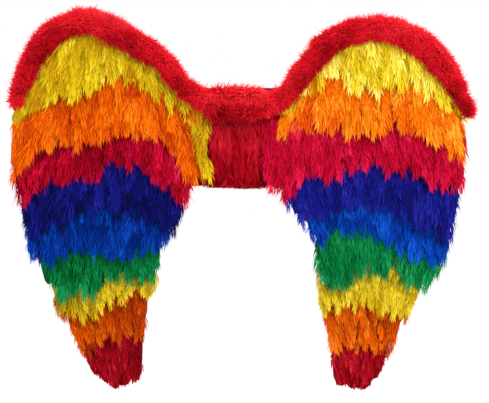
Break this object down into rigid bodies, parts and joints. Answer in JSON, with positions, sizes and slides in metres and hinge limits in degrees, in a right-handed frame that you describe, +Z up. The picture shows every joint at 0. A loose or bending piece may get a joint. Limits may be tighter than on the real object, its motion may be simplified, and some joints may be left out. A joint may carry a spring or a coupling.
{
  "type": "costume feather wings with shoulder loops",
  "caption": "Pair of upright feathered costume wings in rainbow rows, joined by a furry centre panel, with two elastic shoulder loops behind.",
  "frame": {"origin": "middle of the centre board's rear face, which lies against the wearer's back", "axes": "+X along the span to the wing on the right seen from behind the wearer, +Y towards the wearer, +Z up"},
  "size_m": [0.6207, 0.1857, 0.5119],
  "materials": {
    "felt": "dull red felt",
    "red_marabou": "fluffy bright red down",
    "centre_pile": "deep red pile with vertical streaks",
    "yellow_feathers": "fluffy dyed feathers",
    "orange_feathers": "fluffy dyed feathers",
    "crimson_feathers": "fluffy dyed feathers",
    "navy_feathers": "fluffy dyed feathers",
    "blue_feathers": "fluffy dyed feathers",
    "green_feathers": "fluffy dyed feathers",
    "gold_feathers": "fluffy dyed feathers",
    "amber_feathers": "fluffy dyed feathers",
    "ruby_feathers": "fluffy dyed feathers",
    "elastic": "woven black elastic"
  },
  "bodies": {
    "root": {"centre_board": "felt", "centre_fur": "centre_pile", "centre_marabou_trim": "red_marabou", "left_shoulder_strap": "elastic", "right_shoulder_strap": "elastic", "left_wing_board": "felt", "left_yellow_feathers": "yellow_feathers", "left_orange_feathers": "orange_feathers", "left_crimson_feathers": "crimson_feathers", "left_navy_feathers": "navy_feathers", "left_blue_feathers": "blue_feathers", "left_green_feathers": "green_feathers", "left_gold_feathers": "gold_feathers", "left_amber_feathers": "amber_feathers", "left_ruby_feathers": "ruby_feathers", "left_marabou_trim": "red_marabou", "right_wing_board": "felt", "right_yellow_feathers": "yellow_feathers", "right_orange_feathers": "orange_feathers", "right_crimson_feathers": "crimson_feathers", "right_navy_feathers": "navy_feathers", "right_blue_feathers": "blue_feathers", "right_green_feathers": "green_feathers", "right_gold_feathers": "gold_feathers", "right_amber_feathers": "amber_feathers", "right_ruby_feathers": "ruby_feathers", "right_marabou_trim": "red_marabou"}
  },
  "joints": []
}
